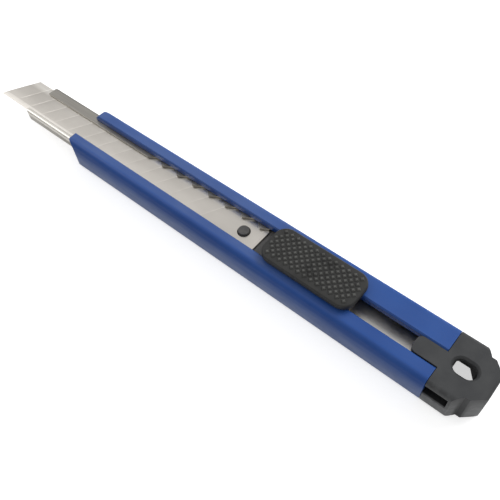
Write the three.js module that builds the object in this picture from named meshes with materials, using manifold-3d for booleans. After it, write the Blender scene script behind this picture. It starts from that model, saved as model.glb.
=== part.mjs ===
import * as THREE from 'three';
import * as BufferGeometryUtils from 'three/addons/utils/BufferGeometryUtils.js';
import Module from 'manifold-3d';

// A utility knife with a snap-off blade, in millimetres.
// It lies with its slotted face up. X runs along it, with the blade's tip at -X and the end cap at +X.
// The cutting edge is on the -Y side, the spine and the ratchet are on the +Y side.
// The origin is the centre of the sleeve's flat back, and +Z points out of the slotted face.

// Blade
const bladeWidth = 9;
const bladeThickness = 0.4;
const bladeTipToHole = 81.8;
const bladeTail = 4.5;
const bladeLead = 5.2;
const bladeBevel = 1.3;
const bladeEdge = 0.08;
const bladeHole = 3;
const bladeTailChamfer = 1.4;
const segmentPitch = 5;
const segmentTailSpace = 9;
const scoreDepth = 0.1;
const scoreWidth = 0.34;

// Guide channel, folded from steel strip
const steelThickness = 0.55;
const bladeSideGap = 0.3;
const bladeFaceGap = 0.1;
const edgeLip = 0.65;
const spineLip = 2.3;
const channelNose = 18.2;
const channelInset = 0.6;
const noseRound = 0.9;
const foldRadius = 0.7;

// Ratchet cut in the lip on the spine side
const ratchetStart = 19;
const notchDepth = 1.6;
const notchRamp = 3;
const notchFlank = 1.7;
const notchRoot = 0.35;
const lockSetback = 22.5;
const stepsBack = 3;

// Sleeve, moulded in blue plastic
const sleeveLength = 100;
const sleeveWall = 1.15;
const sleeveArm = 1.5;
const sleeveSkin = 1.4;
const sleeveRib = 2.3;
const ribWidth = 1.4;
const ledgeWidth = 0.9;
const slotShoulder = 1.3;
const slotChamfer = 0.3;
const tailSlotLength = 20.5;
const tailSlotNear = 0.5;
const tailSlotFar = 2.4;
const topRound = 1.1;
const backRound = 1.2;
const frontRound = 1.3;
const frontPlanRound = 2.8;
const seatGap = 0.1;

// Blade carrier, which slides in the channel under the blade's tail
const carrierPlate = 1.35;
const carrierFront = 4.2;
const carrierSideGap = 0.15;
const pinDiameter = 2.5;
const pinRise = 0.55;
const pinToStep = 4.9;
const pinToLock = 25.6;
const stemFront = 15.4;
const stemLength = 16.4;
const carrierNose = 1.5;

// Lock spring, a stamped leaf with a tooth that drops into the ratchet
const leafThickness = 0.4;
const leafGap = 0.1;
const leafMargin = 0.25;
const leafRear = 2.3;
const armWidth = 0.8;
const armSlit = 1;
const armLength = 13;
const armEnd = 2.6;
const toothReach = 1.15;

// Thumb pad, ribbed in diamonds, on a stem with two pegs
const padLength = 22.4;
const padInset = 2;
const padHeight = 1.95;
const padLift = 0.25;
const padFront = 18.2;
const padRound = 2.9;
const padEdge = 0.55;
const diamondPitch = 1.1;
const diamondGap = 0.2;
const diamondTop = 0.35;
const diamondHeight = 0.32;
const diamondMargin = 1.05;
const stemSideGap = 0.25;
const pegDiameter = 1.6;
const pegInset = 3.7;
const pegReach = 1.5;
const pegGap = 0.12;

// End cap, moulded in dark grey plastic
const capLength = 10.1;
const capShoulder = 5.1;
const capShoulderCut = 1.8;
const capShoulderRun = 1.5;
const capLedge = 0.9;
const capNoseCut = 2.2;
const capNoseRun = 2.4;
const capRearRound = 1.1;
const capWall = 1.6;
const capRoof = 1.4;
const tongueLength = 5.7;
const tongueGap = 0.15;
const tongueRound = 1.2;
const spigotLength = 5.3;
const spigotGap = 0.25;
const prongLength = 7;
const prongGap = 0.2;
const hangLength = 4.6;
const hangWidth = 3.2;
const hangPlace = 4;
const hangChamfer = 0.45;
const windowLength = 4.6;
const windowHeight = 3.4;
const windowLow = 3.6;
const windowDepth = 1.8;

// Fineness of the round stretches, the shortest edge that is kept, and how far a cutter runs past
// what it cuts
const arcSteps = 6;
const holeSteps = 24;
const shortEdge = 0.01;
const overrun = 1;

// Sizes and places that follow from the ones above
const channelInner = bladeWidth + 2 * bladeSideGap;
const channelWidth = channelInner + 2 * steelThickness;
const cavityHalf = channelWidth / 2 + seatGap;
const sleeveHalf = cavityHalf + sleeveWall;
const slotHalf = channelInner / 2 - slotShoulder;
const tailSlotLowY = -slotHalf + tailSlotNear;
const tailSlotHighY = slotHalf - tailSlotFar;
const sleeveFrontX = -sleeveLength / 2;
const sleeveRearX = sleeveLength / 2;
const seatZ = sleeveSkin + sleeveRib;
const channelZ = seatZ + seatGap;
const floorZ = channelZ + steelThickness;
const plateZ = floorZ + bladeFaceGap;
const plateTopZ = plateZ + carrierPlate;
const bladeZ = plateTopZ + bladeFaceGap;
const bladeTopZ = bladeZ + bladeThickness;
const lipZ = bladeTopZ + bladeFaceGap;
const lipTopZ = lipZ + steelThickness;
const armZ = lipTopZ + seatGap;
const sleeveTopZ = armZ + sleeveArm;
const noseX = sleeveFrontX - channelNose;
const channelRearX = sleeveRearX - channelInset;
const edgeLipY = -channelInner / 2 + edgeLip;
const spineLipY = channelInner / 2 - spineLip;
const lockX = sleeveRearX - lockSetback;
const stepsForward = Math.floor((lockX - notchRamp - sleeveFrontX - ratchetStart) / segmentPitch);
const pinX = lockX - pinToLock;
const tipX = pinX - bladeTipToHole;
const bladeRearX = pinX + bladeTail;
const stemX = lockX - stemFront;
const stemRearX = stemX + stemLength;
const stemLowY = tailSlotLowY + stemSideGap;
const stemHighY = tailSlotHighY - stemSideGap;
const padX = lockX - padFront;
const padZ = sleeveTopZ + padLift;
const padTopZ = padZ + padHeight;
const leafZ = lipZ;
const leafTopZ = leafZ + leafThickness;
const capX = sleeveRearX + seatGap;
const capRearX = capX + capLength;

const axisX = new THREE.Vector3(1, 0, 0);
const axisY = new THREE.Vector3(0, 1, 0);
const axisZ = new THREE.Vector3(0, 0, 1);

const wasm = await Module();
wasm.setup();

// A solid from a closed geometry
function solid(geometry) {
  const bare = geometry.index ? geometry.toNonIndexed() : geometry.clone();
  bare.deleteAttribute('normal');
  bare.deleteAttribute('uv');
  const merged = BufferGeometryUtils.mergeVertices(bare);
  return new wasm.Manifold(new wasm.Mesh({
    numProp: 3,
    vertProperties: new Float32Array(merged.attributes.position.array),
    triVerts: new Uint32Array(merged.index.array),
  }));
}

function extrude(shape, length) {
  return new THREE.ExtrudeGeometry(shape, { depth: length, bevelEnabled: false, curveSegments: arcSteps });
}

// An outline drawn in Y and Z, run along X
function alongX(shape, from, to) {
  const geometry = extrude(shape, to - from);
  geometry.applyMatrix4(new THREE.Matrix4().makeBasis(axisY, axisZ, axisX));
  geometry.translate(from, 0, 0);
  return solid(geometry);
}

// An outline drawn in X and Z, run along Y
function alongY(shape, from, to) {
  const geometry = extrude(shape, to - from);
  geometry.applyMatrix4(new THREE.Matrix4().makeBasis(axisX, axisZ, axisY.clone().negate()));
  geometry.translate(0, to, 0);
  return solid(geometry);
}

// An outline drawn in X and Y, run along Z
function alongZ(shape, from, to) {
  const geometry = extrude(shape, to - from);
  geometry.translate(0, 0, from);
  return solid(geometry);
}

function block(x0, x1, y0, y1, z0, z1) {
  const geometry = new THREE.BoxGeometry(x1 - x0, y1 - y0, z1 - z0);
  geometry.translate((x0 + x1) / 2, (y0 + y1) / 2, (z0 + z1) / 2);
  return solid(geometry);
}

function post(diameter, x, y, z0, z1) {
  const geometry = new THREE.CylinderGeometry(diameter / 2, diameter / 2, z1 - z0, holeSteps);
  geometry.rotateX(Math.PI / 2);
  geometry.translate(x, y, (z0 + z1) / 2);
  return solid(geometry);
}

// A rectangle with a radius of its own at each corner, from the low left one round to the high left one
function roundedRect(x0, y0, x1, y1, lowLeft, lowRight, highRight, highLeft) {
  const shape = new THREE.Shape();
  const quarter = Math.PI / 2;
  shape.moveTo(x0 + lowLeft, y0);
  shape.lineTo(x1 - lowRight, y0);
  if (lowRight > 0) shape.absarc(x1 - lowRight, y0 + lowRight, lowRight, -quarter, 0, false);
  shape.lineTo(x1, y1 - highRight);
  if (highRight > 0) shape.absarc(x1 - highRight, y1 - highRight, highRight, 0, quarter, false);
  shape.lineTo(x0 + highLeft, y1);
  if (highLeft > 0) shape.absarc(x0 + highLeft, y1 - highLeft, highLeft, quarter, Math.PI, false);
  shape.lineTo(x0, y0 + lowLeft);
  if (lowLeft > 0) shape.absarc(x0 + lowLeft, y0 + lowLeft, lowLeft, Math.PI, Math.PI + quarter, false);
  return shape;
}

function outline(points) {
  return new THREE.Shape(points.map(([x, y]) => new THREE.Vector2(x, y)));
}

const group = new THREE.Group();

function add(name, body, colour, roughness, metalness) {
  const { vertProperties, triVerts, numProp } = body.simplify(shortEdge).getMesh();
  const geometry = new THREE.BufferGeometry();
  const places = new Float32Array(vertProperties.length / numProp * 3);
  for (let i = 0; i < places.length / 3; i += 1) {
    places.set(vertProperties.subarray(i * numProp, i * numProp + 3), i * 3);
  }
  geometry.setAttribute('position', new THREE.BufferAttribute(places, 3));
  geometry.setIndex(new THREE.BufferAttribute(new Uint32Array(triVerts), 1));
  geometry.computeVertexNormals();
  const material = new THREE.MeshStandardMaterial({ color: colour, roughness, metalness, flatShading: true });
  const mesh = new THREE.Mesh(geometry, material);
  mesh.name = name;
  group.add(mesh);
}

// The outer section that the sleeve and the end cap share
const outerSection = roundedRect(
  -sleeveHalf, 0, sleeveHalf, sleeveTopZ,
  backRound, backRound, topRound, topRound,
);

// Sleeve: one section the whole way, open along the top, with the channel's seat inside
// and two grooves under it that keep the back's wall even. Its slot is narrower behind the thumb
// pad, where the arm on the spine's side covers the ratchet
function makeSleeve() {
  const side = roundedRect(
    sleeveFrontX, 0, sleeveRearX, sleeveTopZ,
    frontRound, 0, 0, frontRound,
  );
  const plan = roundedRect(
    sleeveFrontX, -sleeveHalf, sleeveRearX, sleeveHalf,
    frontPlanRound, 0, 0, frontPlanRound,
  );
  const cutFrom = sleeveFrontX - overrun;
  const cutTo = sleeveRearX + overrun;
  const mouth = (lowY, highY) => outline([
    [lowY, armZ - overrun],
    [highY, armZ - overrun],
    [highY, sleeveTopZ - slotChamfer],
    [highY + slotChamfer + overrun, sleeveTopZ + overrun],
    [lowY - slotChamfer - overrun, sleeveTopZ + overrun],
    [lowY, sleeveTopZ - slotChamfer],
  ]);
  const grooveIn = ribWidth / 2;
  const grooveOut = cavityHalf - ledgeWidth;
  return alongX(outerSection, sleeveFrontX, sleeveRearX)
    .intersect(alongY(side, -sleeveHalf - overrun, sleeveHalf + overrun))
    .intersect(alongZ(plan, -overrun, sleeveTopZ + overrun))
    .subtract(block(cutFrom, cutTo, -cavityHalf, cavityHalf, seatZ, armZ))
    .subtract(alongX(mouth(-slotHalf, slotHalf), cutFrom, sleeveRearX - tailSlotLength))
    .subtract(alongX(mouth(tailSlotLowY, tailSlotHighY), cutFrom, cutTo))
    .subtract(block(cutFrom, cutTo, grooveIn, grooveOut, sleeveSkin, seatZ + overrun))
    .subtract(block(cutFrom, cutTo, -grooveOut, -grooveIn, sleeveSkin, seatZ + overrun));
}

// One ratchet notch in plan: a long ramp towards the tail, a round root and a steeper flank
// that stops the tooth when the blade is pushed back
function notch(x) {
  const rootY = spineLipY + notchDepth;
  return alongZ(outline([
    [x, spineLipY - overrun],
    [x + notchRamp + notchFlank, spineLipY - overrun],
    [x + notchRamp + notchFlank, spineLipY],
    [x + notchRamp + notchRoot, rootY - notchRoot],
    [x + notchRamp, rootY],
    [x + notchRamp - notchRoot, rootY],
    [x, spineLipY],
  ]), lipZ - bladeFaceGap, lipTopZ + overrun);
}

// Guide channel: strip folded to a C, a narrow lip over the cutting edge and a wide one over the spine
function makeChannel() {
  const half = channelWidth / 2;
  const fold = Math.min(foldRadius, half / 2);
  const section = roundedRect(-half, channelZ, half, lipTopZ, fold, fold, fold, fold);
  const plan = roundedRect(noseX, -half, channelRearX, half, noseRound, 0, 0, noseRound);
  const cutFrom = noseX - overrun;
  const cutTo = channelRearX + overrun;
  let body = alongX(section, noseX, channelRearX)
    .intersect(alongZ(plan, channelZ - overrun, lipTopZ + overrun))
    .subtract(block(cutFrom, cutTo, -channelInner / 2, channelInner / 2, floorZ, lipZ))
    .subtract(block(cutFrom, cutTo, edgeLipY, spineLipY, lipZ - bladeFaceGap, lipTopZ + overrun));
  for (let i = -stepsForward; i <= stepsBack; i += 1) {
    body = body.subtract(notch(lockX - notchRamp + i * segmentPitch));
  }
  return body;
}

// Blade: flat strip ground to an edge on one side, scored across where it snaps
function makeBlade() {
  const half = bladeWidth / 2;
  const middle = (bladeZ + bladeTopZ) / 2;
  const section = outline([
    [-half, middle - bladeEdge / 2],
    [-half + bladeBevel, bladeZ],
    [half, bladeZ],
    [half, bladeTopZ],
    [-half + bladeBevel, bladeTopZ],
    [-half, middle + bladeEdge / 2],
  ]);
  const plan = outline([
    [tipX, -half],
    [bladeRearX - bladeTailChamfer, -half],
    [bladeRearX, -half + bladeTailChamfer],
    [bladeRearX, half - bladeTailChamfer],
    [bladeRearX - bladeTailChamfer, half],
    [tipX + bladeLead, half],
  ]);
  let body = alongX(section, tipX, bladeRearX)
    .intersect(alongZ(plan, bladeZ - overrun, bladeTopZ + overrun))
    .subtract(post(bladeHole, pinX, 0, bladeZ - overrun, bladeTopZ + overrun));
  const reach = 1 + 2 * overrun / bladeWidth;
  const groove = outline([
    [-scoreWidth / 2, bladeTopZ],
    [0, bladeTopZ - scoreDepth],
    [scoreWidth / 2, bladeTopZ],
    [scoreWidth / 2, bladeTopZ + overrun],
    [-scoreWidth / 2, bladeTopZ + overrun],
  ]);
  const shear = new THREE.Matrix4().set(
    1, bladeLead / bladeWidth, 0, 0,
    0, 1, 0, 0,
    0, 0, 1, 0,
    0, 0, 0, 1,
  );
  const last = bladeTipToHole + bladeTail - segmentTailSpace - bladeLead;
  for (let along = segmentPitch; along < last; along += segmentPitch) {
    const geometry = extrude(groove, bladeWidth * reach);
    geometry.applyMatrix4(new THREE.Matrix4().makeBasis(axisX, axisZ, axisY.clone().negate()));
    geometry.translate(0, bladeWidth * reach / 2, 0);
    geometry.applyMatrix4(shear);
    geometry.translate(tipX + along + bladeLead / 2, 0, 0);
    body = body.subtract(solid(geometry));
  }
  return body;
}

// Pegs of the thumb pad, and the holes for them in the leaf and the carrier
const leafLowY = edgeLipY + leafMargin;
const leafHighY = spineLipY - leafMargin;
const slitHighY = leafHighY - armWidth;
const slitLowY = slitHighY - armSlit;
const pegPlaces = [stemX + pegInset, stemRearX - pegInset];
const pegY = (leafLowY + slitLowY) / 2;

function pegHoles(body, from, to) {
  let drilled = body;
  for (const x of pegPlaces) {
    drilled = drilled.subtract(post(pegDiameter + 2 * pegGap, x, pegY, from, to));
  }
  return drilled;
}

// Blade carrier: a plate under the blade's tail with the pin that takes its hole, and a thicker
// part behind the blade that the thumb pad is pegged to
function makeCarrier() {
  const half = channelInner / 2 - carrierSideGap;
  const frontX = pinX - carrierFront;
  const stepX = pinX + pinToStep;
  const plan = roundedRect(frontX, -half, stemRearX, half, carrierNose, 0, 0, carrierNose);
  const body = alongZ(plan, plateZ, plateTopZ)
    .add(block(stepX, stemRearX, -half, half, plateTopZ - bladeFaceGap, lipZ - bladeFaceGap))
    .add(post(pinDiameter, pinX, 0, plateTopZ - bladeFaceGap, bladeTopZ + pinRise));
  return pegHoles(body, plateTopZ - pegReach + leafGap - pegGap, lipZ + overrun);
}

// Lock spring: a leaf on the carrier, slit lengthwise so that its arm can bend and let the tooth
// at its end ride from notch to notch
function makeSpring() {
  const rootX = lockX - armLength;
  const endX = lockX + armEnd;
  const rearX = stemRearX + leafRear;
  const highY = leafHighY;
  const leaf = outline([
    [stemX, leafLowY],
    [rearX, leafLowY],
    [rearX, slitLowY],
    [rootX, slitLowY],
    [rootX, slitHighY],
    [endX, slitHighY],
    [endX, highY],
    [stemX, highY],
  ]);
  const tipY = spineLipY + toothReach;
  const frontRun = (notchRamp - notchRoot) * (tipY - highY) / notchDepth;
  const backRun = (notchFlank - notchRoot) * (tipY - highY) / notchDepth;
  const tooth = outline([
    [lockX - notchRoot - frontRun, highY - armWidth / 2],
    [lockX + backRun, highY - armWidth / 2],
    [lockX + backRun, highY],
    [lockX, tipY],
    [lockX - notchRoot, tipY],
    [lockX - notchRoot - frontRun, highY],
  ]);
  const body = alongZ(leaf, leafZ, leafTopZ).add(alongZ(tooth, leafZ, leafTopZ));
  return pegHoles(body, leafZ - overrun, leafTopZ + overrun);
}

// Thumb pad: rounded plate set with rows of small blunt pyramids, a stem through the slot, and pegs
// that go through the leaf into the carrier
function makePad() {
  const half = sleeveHalf - padInset;
  const rearX = padX + padLength;
  const plateHeight = padHeight - diamondHeight;
  const crown = new THREE.ExtrudeGeometry(roundedRect(
    padX + padEdge, -half + padEdge, rearX - padEdge, half - padEdge,
    padRound - padEdge, padRound - padEdge, padRound - padEdge, padRound - padEdge,
  ), {
    depth: plateHeight - 2 * padEdge,
    bevelEnabled: true,
    bevelThickness: padEdge,
    bevelSize: padEdge,
    bevelSegments: arcSteps / 2,
    curveSegments: arcSteps,
  });
  crown.translate(0, 0, padZ + padEdge);

  const rowStep = diamondPitch / Math.SQRT2;
  const centreX = (padX + rearX) / 2;
  const sink = diamondHeight;
  const spread = (diamondPitch - diamondGap - diamondTop) / 2 / diamondHeight;
  const topRadius = diamondTop / Math.SQRT2;
  const footRadius = (diamondTop + 2 * spread * (diamondHeight + sink)) / Math.SQRT2;
  const reachX = padLength / 2 - diamondMargin;
  const reachY = half - diamondMargin;
  const cornerX = padLength / 2 - padRound;
  const cornerY = half - padRound;
  const bits = [solid(crown)];
  for (let row = -Math.floor(reachY / rowStep); row * rowStep <= reachY; row += 1) {
    for (let step = -Math.floor(reachX / rowStep); step * rowStep <= reachX; step += 1) {
      const x = step * rowStep;
      const y = row * rowStep;
      const beyond = Math.hypot(Math.max(Math.abs(x) - cornerX, 0), Math.max(Math.abs(y) - cornerY, 0));
      if ((row + step) % 2 === 0 && beyond <= padRound - diamondMargin) {
        const pyramid = new THREE.CylinderGeometry(topRadius, footRadius, diamondHeight + sink, 4);
        pyramid.rotateX(Math.PI / 2);
        pyramid.translate(centreX + x, y, padTopZ - (diamondHeight + sink) / 2);
        bits.push(solid(pyramid));
      }
    }
  }

  const stemZ = leafTopZ + leafGap;
  bits.push(block(stemX, stemRearX, stemLowY, stemHighY, stemZ, padZ + padEdge));
  for (const x of pegPlaces) {
    bits.push(post(pegDiameter, x, pegY, plateTopZ - pegReach + leafGap, stemZ + leafGap));
  }
  return wasm.Manifold.union(bits);
}

// End cap: a shell, open at the back, that closes the tail, with a tongue in the slot, a spigot in
// the channel and two prongs in the sleeve's grooves that hold it
function makeCap() {
  const half = sleeveHalf;
  const shoulderX = capX + capShoulder;
  const neckX = shoulderX + capShoulderRun;
  const neckHalf = half - capShoulderCut;
  const ledgeX = neckX + capLedge;
  const plan = outline([
    [capX, -half],
    [shoulderX, -half],
    [neckX, -neckHalf],
    [ledgeX, -neckHalf],
    [ledgeX + capNoseRun, -neckHalf + capNoseCut],
    [ledgeX + capNoseRun, neckHalf - capNoseCut],
    [ledgeX, neckHalf],
    [neckX, neckHalf],
    [shoulderX, half],
    [capX, half],
  ]);
  const side = roundedRect(capX, 0, capRearX, sleeveTopZ, 0, capRearRound, capRearRound, 0);
  let body = alongX(outerSection, capX, capRearX)
    .intersect(alongY(side, -half - overrun, half + overrun))
    .intersect(alongZ(plan, -overrun, sleeveTopZ + overrun));

  // Hollow, one wall in from the outline all round, with slanted parts moved in by half a wall
  const innerHalf = half - capWall;
  const innerNeck = neckHalf - capWall;
  const innerNose = neckHalf - capNoseCut - capWall / 2;
  const hollow = outline([
    [capX + capWall, -innerHalf],
    [shoulderX - capWall / 2, -innerHalf],
    [neckX - capWall / 2, -innerNeck],
    [ledgeX - capWall / 2, -innerNeck],
    [ledgeX + capNoseRun - capWall, -innerNose],
    [ledgeX + capNoseRun - capWall, innerNose],
    [ledgeX - capWall / 2, innerNeck],
    [neckX - capWall / 2, innerNeck],
    [shoulderX - capWall / 2, innerHalf],
    [capX + capWall, innerHalf],
  ]);
  body = body.subtract(alongZ(hollow, -overrun, sleeveTopZ - capRoof));

  const tonguePlan = roundedRect(
    sleeveRearX - tongueLength, tailSlotLowY + tongueGap, capX + overrun, tailSlotHighY - tongueGap,
    tongueRound, 0, 0, tongueRound,
  );
  const spigotHalf = channelInner / 2 - spigotGap;
  const grooveIn = ribWidth / 2 + prongGap;
  const grooveOut = cavityHalf - ledgeWidth - prongGap;
  const prongX = sleeveRearX - prongLength;
  body = body
    .add(alongZ(tonguePlan, armZ + tongueGap, sleeveTopZ))
    .add(block(sleeveRearX - spigotLength, capX + overrun, -spigotHalf, spigotHalf, floorZ + spigotGap, lipZ - spigotGap));
  for (const [low, high] of [[grooveIn, grooveOut], [-grooveOut, -grooveIn]]) {
    body = body.add(block(prongX, capX + overrun, low, high, sleeveSkin + prongGap, seatZ - prongGap));
  }

  // Hanging hole in the roof, with a chamfer
  const hangX = capX + hangPlace;
  const hangRound = hangWidth / 2;
  const hang = roundedRect(
    hangX - hangLength / 2, -hangWidth / 2, hangX + hangLength / 2, hangWidth / 2,
    hangRound, hangRound, hangRound, hangRound,
  );
  body = body.subtract(alongZ(hang, sleeveTopZ - capRoof - overrun, sleeveTopZ + overrun));
  const flare = new THREE.ExtrudeGeometry(hang, {
    depth: hangChamfer,
    bevelEnabled: true,
    bevelThickness: hangChamfer,
    bevelSize: hangChamfer,
    bevelSegments: 1,
    curveSegments: arcSteps,
  });
  flare.translate(0, 0, sleeveTopZ);
  body = body.subtract(solid(flare));

  // Window in the side wall beside the joint
  return body.subtract(block(
    capX - overrun, capX + windowLength, -half - overrun, -half + windowDepth,
    windowLow, windowLow + windowHeight,
  ));
}

add('sleeve', makeSleeve(), 0x2f4b96, 0.45, 0);
add('guide_channel', makeChannel(), 0xa9a8a4, 0.3, 0.9);
add('blade', makeBlade(), 0xc6bcb7, 0.25, 0.9);
add('blade_carrier', makeCarrier(), 0x2b2c2b, 0.5, 0);
add('lock_spring', makeSpring(), 0xb4b4b0, 0.3, 0.9);
add('thumb_pad', makePad(), 0x454543, 0.55, 0);
add('end_cap', makeCap(), 0x4a4b4b, 0.5, 0);

export default group;
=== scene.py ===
# Slim utility knife with a snap-off blade, lying on its back on a white table.
# Lengths are in metres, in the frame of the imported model: X runs along the knife with the blade's
# tip at -X, the cutting edge is on the -Y side, +Z points out of the slotted face, and the back
# lies at Z = 0.
import math

import bpy
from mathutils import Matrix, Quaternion, Vector


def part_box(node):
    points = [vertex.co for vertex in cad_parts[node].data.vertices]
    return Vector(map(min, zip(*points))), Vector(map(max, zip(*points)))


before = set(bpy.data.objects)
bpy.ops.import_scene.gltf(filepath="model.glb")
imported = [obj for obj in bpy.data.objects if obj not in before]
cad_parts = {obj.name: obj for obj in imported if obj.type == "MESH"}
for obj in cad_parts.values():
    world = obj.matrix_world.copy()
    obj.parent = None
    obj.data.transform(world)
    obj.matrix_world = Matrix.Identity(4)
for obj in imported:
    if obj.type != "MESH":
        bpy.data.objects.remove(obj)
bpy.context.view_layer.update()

MM = 0.001

# Camera. It looks down at the knife from the cutting edge's side and the tail, with the knife
# running from the upper left to the lower right of the square picture.
view_azimuth = math.radians(45.54)
view_elevation = math.radians(55.15)
view_roll = math.radians(-6.41)
view_distance = 129.1 * MM
view_aim = Vector((5.12, -1.95, 4.3)) * MM
sensor_width_mm = 36
lens_length_mm = 43.2
nearest_seen = 5 * MM
back = Vector((
    math.sin(view_azimuth) * math.cos(view_elevation),
    -math.cos(view_azimuth) * math.cos(view_elevation),
    math.sin(view_elevation),
))
camera = bpy.data.objects.new("camera", bpy.data.cameras.new("camera"))
bpy.context.scene.collection.objects.link(camera)
bpy.context.scene.camera = camera
camera.data.sensor_width = sensor_width_mm
camera.data.lens = lens_length_mm
camera.data.clip_start = nearest_seen
camera.location = view_aim + back * view_distance
camera.rotation_mode = "QUATERNION"
camera.rotation_quaternion = Quaternion(back, view_roll) @ (-back).to_track_quat("-Z", "Y")


# Light. A large soft box low behind the spine's side, which no face mirrors, and a smaller one over
# the blade's tip, which shows in the rounded steel edges. The rest comes from a pale room, bright
# overhead and greyer towards the horizon, seen in the metal and plain white to the camera.
key_size = 340 * MM
key_place = Vector((120, 370, 240)) * MM
key_energy = 1.6
front_size = 220 * MM
front_place = Vector((-320, -65, 280)) * MM
front_energy = 0.2
room_horizon = 0.12
room_level = 0.75
room_seen = 1.0


def add_softbox(name, place, size, energy, mirrored):
    """A square lamp at place that faces the knife, and shows in shiny faces where mirrored."""
    light = bpy.data.lights.new(name, "AREA")
    light.size = size
    light.energy = energy
    lamp = bpy.data.objects.new(name, light)
    bpy.context.scene.collection.objects.link(lamp)
    lamp.location = place
    lamp.rotation_mode = "QUATERNION"
    lamp.rotation_quaternion = (-place).to_track_quat("-Z", "Y")
    lamp.visible_glossy = mirrored


def calculate(tree, operation, first, second):
    """The result of a sum on two values, each an output or a number."""
    node = tree.nodes.new("ShaderNodeMath")
    node.operation = operation
    for socket, value in zip(node.inputs, (first, second)):
        if isinstance(value, (int, float)):
            socket.default_value = value
        else:
            tree.links.new(value, socket)
    return node.outputs["Value"]


def remap(tree, value, span, result=(0, 1), origin=0):
    """value turned from the span, counted from origin, to the result's range, held at both ends."""
    node = tree.nodes.new("ShaderNodeMapRange")
    node.inputs["From Min"].default_value = origin + span[0]
    node.inputs["From Max"].default_value = origin + span[1]
    node.inputs["To Min"].default_value = result[0]
    node.inputs["To Max"].default_value = result[1]
    tree.links.new(value, node.inputs["Value"])
    return node.outputs["Result"]


def ray_kinds(tree):
    """Two values: 1 for the camera's own rays, and 1 for those that a mirror or glass sends on."""
    rays = tree.nodes.new("ShaderNodeLightPath").outputs
    sent_on = calculate(tree, "MAXIMUM", rays["Is Glossy Ray"], rays["Is Transmission Ray"])
    return rays["Is Camera Ray"], sent_on


add_softbox("key_softbox", key_place, key_size, key_energy, mirrored=False)
add_softbox("front_softbox", front_place, front_size, front_energy, mirrored=True)

world = bpy.data.worlds.new("room")
bpy.context.scene.world = world
world.use_nodes = True
tree = world.node_tree
background = tree.nodes["Background"]
direction = tree.nodes.new("ShaderNodeTexCoord")
height = tree.nodes.new("ShaderNodeSeparateXYZ")
tree.links.new(direction.outputs["Generated"], height.inputs["Vector"])
grey = remap(tree, height.outputs["Z"], (0, 1), (room_horizon, 1))
from_camera, sent_on = ray_kinds(tree)
tree.links.new(calculate(tree, "MAXIMUM", grey, from_camera), background.inputs["Color"])
seen = calculate(tree, "MAXIMUM", sent_on, from_camera)
strength = remap(tree, seen, (0, 1), (room_level, room_seen))
tree.links.new(strength, background.inputs["Strength"])
bpy.context.scene.view_settings.view_transform = "Standard"


# Table. A plain white sheet that the knife's flat back lies on, lit up a little for the camera, and
# less for the metal, so that it reads as white while the shadow along the knife stays.
table_half = 900 * MM
table_paint = (0.8, 0.8, 0.8, 1)
table_lift = 0.6
table_lift_mirrored = 0.12
sheet = bpy.data.meshes.new("table")
sheet.from_pydata(
    [
        (-table_half, -table_half, 0),
        (table_half, -table_half, 0),
        (table_half, table_half, 0),
        (-table_half, table_half, 0),
    ],
    [],
    [(0, 1, 2, 3)],
)
table = bpy.data.objects.new("table", sheet)
bpy.context.scene.collection.objects.link(table)
paper = bpy.data.materials.new("table_paper")
paper.use_nodes = True
tree = paper.node_tree
tree.nodes.remove(tree.nodes["Principled BSDF"])
matt = tree.nodes.new("ShaderNodeBsdfDiffuse")
matt.inputs["Color"].default_value = table_paint
from_camera, sent_on = ray_kinds(tree)
lift = calculate(tree, "MULTIPLY", from_camera, table_lift)
faint = calculate(tree, "MULTIPLY", sent_on, table_lift_mirrored)
glow = tree.nodes.new("ShaderNodeEmission")
tree.links.new(calculate(tree, "ADD", lift, faint), glow.inputs["Strength"])
both = tree.nodes.new("ShaderNodeAddShader")
tree.links.new(matt.outputs["BSDF"], both.inputs[0])
tree.links.new(glow.outputs["Emission"], both.inputs[1])
tree.links.new(both.outputs["Shader"], tree.nodes["Material Output"].inputs["Surface"])
sheet.materials.append(paper)


# Sleeve. The long handle shell, moulded in blue plastic with a fine satin skin. Its corners are
# softly rounded, its top is rubbed paler where the hand holds it, with a painted sheen in the same
# pale colour, and its sides are duller than the top and painted paler towards the back, as light
# thrown up from the table.
sleeve_blue = (26, 70, 142)
sleeve_pale = (36, 80, 153)
sleeve_rubbed_sheen = (118, 134, 168)
side_painted_bounce = (124, 140, 182)
sleeve_round = 0.1 * MM
weld_reach = 0.001 * MM
flat_angle = math.radians(1)
grain_roughness = 0.55
cloud_size = 14 * MM
cloud_span = (0.35, 0.7)
patch_size = 3 * MM
patch_stretch = (0.35, 1, 1)
patch_span = (0.4, 0.62)
patch_wear_and_light = (0.7, 1)
top_skin = (-0.3 * MM, -0.1 * MM)
near_strip = (0.8 * MM, 1.5 * MM)
grip_span = (8 * MM, 26 * MM)
grip_wear_and_sheen = (0.3, 0.08)
side_turn = (-0.6 * MM, -0.15 * MM)
side_bounce_span = (2.5 * MM, 6.7 * MM)
side_dull = (1.5 * MM, 6.5 * MM)
dullness = 0.3
scuff_size = 0.7 * MM
scuff_stretch = (0.08, 1, 1)
scuff_span = (0.35, 0.75)
scuff_gloss = (0.29, 0.43)
pore_size = 0.16 * MM
pore_depth = 0.006 * MM
scratch_size = 0.6 * MM
scratch_stretch = (0.04, 1, 1)
scratch_depth = 0.004 * MM
sleeve_low, sleeve_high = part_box("sleeve")


def linear(colour):
    """An sRGB colour written 0 to 255, as the values that a shader takes."""
    def one(value):
        part = value / 255
        return part / 12.92 if part <= 0.04045 else ((part + 0.055) / 1.055) ** 2.4
    return (*(one(value) for value in colour), 1)


def new_material(name, roughness, metallic=0.0, specular=0.5):
    """A node material, its node tree and its shader."""
    material = bpy.data.materials.new(name)
    material.use_nodes = True
    shader = material.node_tree.nodes["Principled BSDF"]
    shader.inputs["Roughness"].default_value = roughness
    shader.inputs["Metallic"].default_value = metallic
    shader.inputs["Specular IOR Level"].default_value = specular
    return material, material.node_tree, shader


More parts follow.
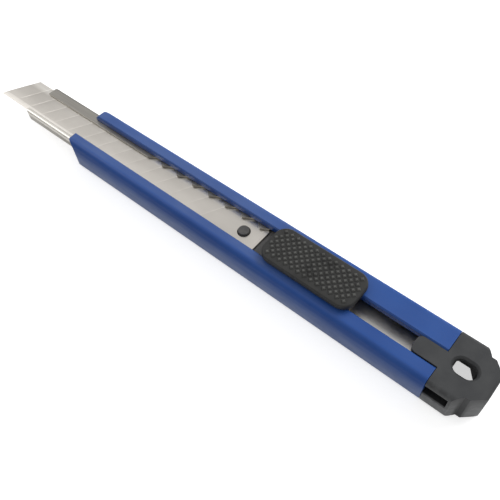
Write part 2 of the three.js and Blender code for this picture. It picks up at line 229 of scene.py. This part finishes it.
def coordinates(tree, stretch=(1, 1, 1)):
    """Places on the piece in metres, each axis times its stretch."""
    source = tree.nodes.new("ShaderNodeTexCoord")
    mapping = tree.nodes.new("ShaderNodeMapping")
    mapping.inputs["Scale"].default_value = stretch
    tree.links.new(source.outputs["Object"], mapping.inputs["Vector"])
    return mapping.outputs["Vector"]


def place_along(tree, axis):
    """The place along one axis, in metres."""
    node = tree.nodes.new("ShaderNodeSeparateXYZ")
    tree.links.new(coordinates(tree), node.inputs["Vector"])
    return node.outputs[axis]


def grain(tree, size, stretch=(1, 1, 1), detail=3.0):
    """Noise from 0 to 1 whose blots are about size across, longer where stretch is under 1."""
    noise = tree.nodes.new("ShaderNodeTexNoise")
    noise.inputs["Scale"].default_value = 1 / size
    noise.inputs["Detail"].default_value = detail
    noise.inputs["Roughness"].default_value = grain_roughness
    tree.links.new(coordinates(tree, stretch), noise.inputs["Vector"])
    return noise.outputs["Fac"]


def product(tree, first, *others):
    """All the values multiplied, in the order given."""
    for other in others:
        first = calculate(tree, "MULTIPLY", first, other)
    return first


def tint(tree, factor, first, second):
    """A colour between first and second, each an output or an sRGB colour."""
    node = tree.nodes.new("ShaderNodeMix")
    node.data_type = "RGBA"
    tree.links.new(factor, node.inputs["Factor"])
    # Inputs 6 and 7 and output 2 are the node's colours
    for socket, colour in zip(node.inputs[6:8], (first, second)):
        if isinstance(colour, tuple):
            socket.default_value = linear(colour)
        else:
            tree.links.new(colour, socket)
    return node.outputs[2]


def relief(tree, shader, height, depth, under=None):
    """Bumps of that depth on the shader, on top of the bumps under them."""
    node = tree.nodes.new("ShaderNodeBump")
    node.inputs["Strength"].default_value = 1
    node.inputs["Distance"].default_value = depth
    tree.links.new(height, node.inputs["Height"])
    if under is not None:
        tree.links.new(under, node.inputs["Normal"])
    tree.links.new(node.outputs["Normal"], shader.inputs["Normal"])
    return node.outputs["Normal"]


def dress(node, material):
    """Puts a material on a CAD piece in place of the one it came with."""
    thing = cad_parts[node]
    thing.data.materials.clear()
    thing.data.materials.append(material)


def shade_smooth(node):
    """Joins the points that a CAD piece's faces share and shades it smooth."""
    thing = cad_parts[node]
    thing.data.polygons.foreach_set("use_smooth", [True] * len(thing.data.polygons))
    thing.modifiers.new("weld", "WELD").merge_threshold = weld_reach
    return thing


def soften(node, width, segments=2, limit=30):
    """Rounds by width the edges of a CAD piece that turn by more than limit degrees."""
    thing = shade_smooth(node)
    flatten = thing.modifiers.new("flatten", "DECIMATE")
    flatten.decimate_type = "DISSOLVE"
    flatten.angle_limit = flat_angle
    rounding = thing.modifiers.new("rounding", "BEVEL")
    rounding.width = width
    rounding.segments = segments
    rounding.limit_method = "ANGLE"
    rounding.angle_limit = math.radians(limit)
    rounding.use_clamp_overlap = True
    thing.modifiers.new("normals", "WEIGHTED_NORMAL").keep_sharp = True


sleeve_skin, tree, shader = new_material("sleeve_skin", roughness=0.34, specular=0.35)
along, across, rise = (place_along(tree, axis) for axis in "XYZ")
clouds = remap(tree, grain(tree, cloud_size, detail=2), cloud_span)
colour = tint(tree, clouds, sleeve_blue, sleeve_pale)
patches = remap(tree, grain(tree, patch_size, patch_stretch), patch_span, patch_wear_and_light)
on_top = remap(tree, rise, top_skin, origin=sleeve_high.z)
off_edge = remap(tree, across, near_strip, origin=sleeve_low.y)
held_and_sheen = remap(tree, along, grip_span, grip_wear_and_sheen)
# The top is paler where held, partly as rubbing and partly as a painted sheen.
colour = tint(tree, product(tree, on_top, off_edge, held_and_sheen, patches), colour, sleeve_rubbed_sheen)
out = calculate(tree, "ABSOLUTE", across, 0)
side = remap(tree, out, side_turn, origin=sleeve_high.y)
foot = remap(tree, rise, side_bounce_span, (1, 0))
# Painted light: the sides are paler towards the back, as light thrown up from the table.
colour = tint(tree, product(tree, side, foot, patches), colour, side_painted_bounce)
tree.links.new(colour, shader.inputs["Base Color"])
scuffs = remap(tree, grain(tree, scuff_size, scuff_stretch), scuff_span, scuff_gloss)
dull = remap(tree, product(tree, side, remap(tree, rise, side_dull)), (0, 1), (0, dullness))
tree.links.new(calculate(tree, "ADD", scuffs, dull), shader.inputs["Roughness"])
pores = relief(tree, shader, grain(tree, pore_size), pore_depth)
relief(tree, shader, grain(tree, scratch_size, scratch_stretch), scratch_depth, pores)
dress("sleeve", sleeve_skin)
soften("sleeve", sleeve_round)


# Guide channel. Bright steel strip, roll-folded round the blade with a narrow lip at the edge
# side, painted with a bright highlight along its fold, and a wide, notched lip at the spine,
# painted darker as shade under the sleeve's arm and darkest at its teeth; it slides into the sleeve
# and stands out as the nose.
steel_light = (196, 192, 185)
steel_dark = (166, 162, 155)
steel_painted_highlight = (238, 234, 226)
spine_lip_shade = (158, 155, 149)
ratchet_shade = (84, 82, 79)
steel_clean = (224, 220, 214)
steel_thick = 0.55 * MM
steel_round = 0.06 * MM
streak_size = 0.25 * MM
streak_stretch = (0.02, 1, 1)
streak_span = (0.3, 0.7)
streak_depth = 0.004 * MM
fold_highlight_span = (-1.3 * MM, -0.9 * MM)
lip_shade_span = (1 * MM, 3 * MM)
lip_shade_most = 0.55
ratchet_start = -47 * MM
ratchet_fade = (0, 3 * MM)
floor_fade = (0.05 * MM, 0.3 * MM)
haze_size = 1.6 * MM
haze_stretch = (0.3, 1, 1)
haze_span = (0.3, 0.7)
steel_gloss = (0.29, 0.45)
channel_low, channel_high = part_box("guide_channel")
channel_steel, tree, shader = new_material("channel_steel", roughness=0.34, metallic=1.0)
along, across, rise = (place_along(tree, axis) for axis in "XYZ")
streaks = grain(tree, streak_size, streak_stretch)
colour = tint(tree, remap(tree, streaks, streak_span), steel_dark, steel_light)
near_fold = channel_high.z - channel_low.y
# Painted highlight: the outer fold of the near lip is painted bright.
fold_highlight = remap(tree, calculate(tree, "SUBTRACT", rise, across), fold_highlight_span, origin=near_fold)
colour = tint(tree, fold_highlight, colour, steel_painted_highlight)
# Painted shade: the spine lip is darker, as shade under the sleeve's arm, and darkest on the
# notched teeth.
notched = remap(tree, along, ratchet_fade, origin=ratchet_start)
lip_shade = tint(tree, notched, spine_lip_shade, ratchet_shade)
colour = tint(tree, remap(tree, across, lip_shade_span, (0, lip_shade_most)), colour, lip_shade)
inside = remap(tree, rise, floor_fade, (1, 0), origin=channel_low.z + steel_thick)
colour = tint(tree, inside, colour, steel_clean)
tree.links.new(colour, shader.inputs["Base Color"])
gloss = remap(tree, grain(tree, haze_size, haze_stretch), haze_span, steel_gloss)
tree.links.new(gloss, shader.inputs["Roughness"])
relief(tree, shader, streaks, streak_depth)
dress("guide_channel", channel_steel)
soften("guide_channel", steel_round)


# Blade. A strip of carbon steel, 9 mm wide, ground to an edge along one side and scored across so
# that worn lengths snap off. The faces carry fine grinding lines and a thin film of oil, and the
# strip under the spine's lip is painted lighter, as light offsetting the shade that the lip casts.
blade_face = (213, 208, 201)
blade_shade = (201, 196, 189)
ground_bright = (226, 221, 214)
blade_painted_light = (240, 236, 229)
bevel_width = 1.3 * MM
bevel_fade = (0.04 * MM, -0.04 * MM)
painted_light_span = (2 * MM, 3.2 * MM)
film_size = 6 * MM
smear_size = 4 * MM
film_stretch = (0.4, 1, 1)
film_span = (0.3, 0.7)
blade_gloss = (0.29, 0.37)
face_line_size = 0.18 * MM
face_line_stretch = (0.03, 1, 1)
face_line_depth = 0.002 * MM
bevel_line_size = 0.1 * MM
bevel_line_stretch = (1, 0.04, 1)
bevel_line_depth = 0.004 * MM
blade_round = 0.015 * MM
blade_low, blade_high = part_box("blade")
blade_steel, tree, shader = new_material("blade_steel", roughness=0.3, metallic=1.0)
across = place_along(tree, "Y")
film = remap(tree, grain(tree, film_size, film_stretch, detail=2), film_span)
colour = tint(tree, film, blade_shade, blade_face)
# Painted light: the strip under the spine's lip is lighter, offsetting the lip's shade.
colour = tint(tree, remap(tree, across, painted_light_span), colour, blade_painted_light)
on_bevel = remap(tree, across, bevel_fade, origin=blade_low.y + bevel_width)
colour = tint(tree, on_bevel, colour, ground_bright)
tree.links.new(colour, shader.inputs["Base Color"])
smears = grain(tree, smear_size, film_stretch, detail=2)
tree.links.new(remap(tree, smears, film_span, blade_gloss), shader.inputs["Roughness"])
face_lines = grain(tree, face_line_size, face_line_stretch)
face_bumps = relief(tree, shader, face_lines, face_line_depth)
bevel_lines = product(tree, grain(tree, bevel_line_size, bevel_line_stretch), on_bevel)
relief(tree, shader, bevel_lines, bevel_line_depth, face_bumps)
dress("blade", blade_steel)
soften("blade", blade_round, segments=1, limit=60)


# Blade carrier. A small black moulding in the channel: a plate under the blade's tail with the pin
# that stands in its hole, and a thicker block behind it that the thumb pad is pegged to.
carrier_black = (78, 77, 76)
carrier_dusty = (98, 95, 92)
carrier_round = 0.06 * MM
dust_size = 1.1 * MM
dust_span = (0.45, 0.75)
carrier_pore_size = 0.12 * MM
carrier_pore_depth = 0.008 * MM
carrier_skin, tree, shader = new_material("carrier_skin", roughness=0.5, specular=0.4)
dust = remap(tree, grain(tree, dust_size), dust_span)
tree.links.new(tint(tree, dust, carrier_black, carrier_dusty), shader.inputs["Base Color"])
relief(tree, shader, grain(tree, carrier_pore_size), carrier_pore_depth)
dress("blade_carrier", carrier_skin)
soften("blade_carrier", carrier_round)


# Lock spring. A stamped leaf of spring steel between the carrier and the pad, slit so that its arm
# bends; the tooth on the arm clicks into the channel's notches. It has a heat-tempered tan tone.
spring_light = (182, 176, 166)
spring_tan = (150, 138, 118)
spring_round = 0.03 * MM
temper_size = 2.2 * MM
temper_span = (0.35, 0.7)
roll_size = 0.12 * MM
roll_stretch = (0.05, 1, 1)
roll_depth = 0.003 * MM
spring_steel, tree, shader = new_material("spring_steel", roughness=0.32, metallic=1.0)
temper = remap(tree, grain(tree, temper_size), temper_span)
tree.links.new(tint(tree, temper, spring_light, spring_tan), shader.inputs["Base Color"])
relief(tree, shader, grain(tree, roll_size, roll_stretch), roll_depth)
dress("lock_spring", spring_steel)
soften("lock_spring", spring_round, segments=1)


# Thumb pad. The dark grey slider button, moulded with rows of blunt pyramids for grip, their tips
# rubbed lighter by the thumb; its stem goes down through the slot and is pegged to the carrier.
pad_grey = (50, 50, 49)
pad_tips = (90, 90, 88)
pad_pits = (30, 30, 30)
tip_height = 0.32 * MM
grime_size = 2.4 * MM
grime_span = (0.5, 0.75)
grime_most = 0.7
pad_pore_size = 0.14 * MM
pad_pore_depth = 0.012 * MM
crease_angle = math.radians(28)
pad_low, pad_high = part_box("thumb_pad")
pad_skin, tree, shader = new_material("pad_skin", roughness=0.52, specular=0.4)
tips = remap(tree, place_along(tree, "Z"), (-tip_height, 0), origin=pad_high.z)
colour = tint(tree, tips, pad_grey, pad_tips)
grime = remap(tree, grain(tree, grime_size), grime_span, (0, grime_most))
tree.links.new(tint(tree, grime, colour, pad_pits), shader.inputs["Base Color"])
relief(tree, shader, grain(tree, pad_pore_size), pad_pore_depth)
dress("thumb_pad", pad_skin)
pad = shade_smooth("thumb_pad")
pad.modifiers.new("creases", "EDGE_SPLIT").split_angle = crease_angle


# End cap. Dark grey plastic with a spark-eroded matt skin, paler towards its foot and painted
# darker inside, as shade. Its tongue fills the rear of the slot, and its prongs grip inside the
# sleeve, so that it plugs in from the tail without a screw.
cap_grey = (68, 69, 70)
cap_deep = (58, 59, 61)
cap_rubbed = (84, 85, 86)
cap_foot = (140, 141, 142)
cap_painted_shade = (26, 26, 28)
cap_round = 0.14 * MM
tone_size = 4 * MM
tone_span = (0.35, 0.7)
corner_worn = (-1 * MM, -0.5 * MM)
chip_size = 1.4 * MM
chip_span = (0.42, 0.62)
chip_wear = (0.1, 0.9)
foot_patch_range = (0.7, 1)
foot_low = 1 * MM
foot_margin = 0.5 * MM
flank_turn = (-1.5 * MM, -1 * MM)
stern_turn = (-2.4 * MM, -1.8 * MM)
well_depth = (-0.4 * MM, -0.2 * MM)
well_roof = (-1.4 * MM, -1 * MM)
well_end = (-5.2 * MM, -5 * MM)
spark_size = 0.13 * MM
spark_depth = 0.014 * MM
dimple_size = 0.5 * MM
dimple_depth = 0.008 * MM
cap_low, cap_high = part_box("end_cap")
cap_skin, tree, shader = new_material("cap_skin", roughness=0.5, specular=0.4)
along, across, rise = (place_along(tree, axis) for axis in "XYZ")
out = calculate(tree, "ABSOLUTE", across, 0)
tone = remap(tree, grain(tree, tone_size, detail=2), tone_span)
colour = tint(tree, tone, cap_deep, cap_grey)
top_corner = sleeve_high.y + sleeve_high.z
wear = remap(tree, calculate(tree, "ADD", out, rise), corner_worn, origin=top_corner)
chips = remap(tree, grain(tree, chip_size), chip_span, chip_wear)
colour = tint(tree, product(tree, wear, chips), colour, cap_rubbed)
foot = remap(tree, rise, (foot_low, cap_high.z - foot_margin), (1, 0))
flank = remap(tree, out, flank_turn, origin=cap_high.y)
stern = remap(tree, along, stern_turn, origin=cap_high.x)
outside = calculate(tree, "MAXIMUM", flank, stern)
paler_low = product(tree, foot, remap(tree, chips, chip_wear, foot_patch_range), outside)
# Paler towards the foot on the sides and the end, in patches.
colour = tint(tree, paler_low, colour, cap_foot)
well = remap(tree, out, well_depth, (1, 0), origin=cap_high.y)
under_roof = remap(tree, rise, well_roof, (1, 0), origin=cap_high.z)
ahead = remap(tree, along, well_end, (1, 0), origin=cap_high.x)
# Painted shade: the inside of the cap, under its roof and away from its sides and end, is darker.
colour = tint(tree, product(tree, well, under_roof, ahead), colour, cap_painted_shade)
tree.links.new(colour, shader.inputs["Base Color"])
pitting = relief(tree, shader, grain(tree, spark_size), spark_depth)
relief(tree, shader, grain(tree, dimple_size), dimple_depth, pitting)
dress("end_cap", cap_skin)
soften("end_cap", cap_round)
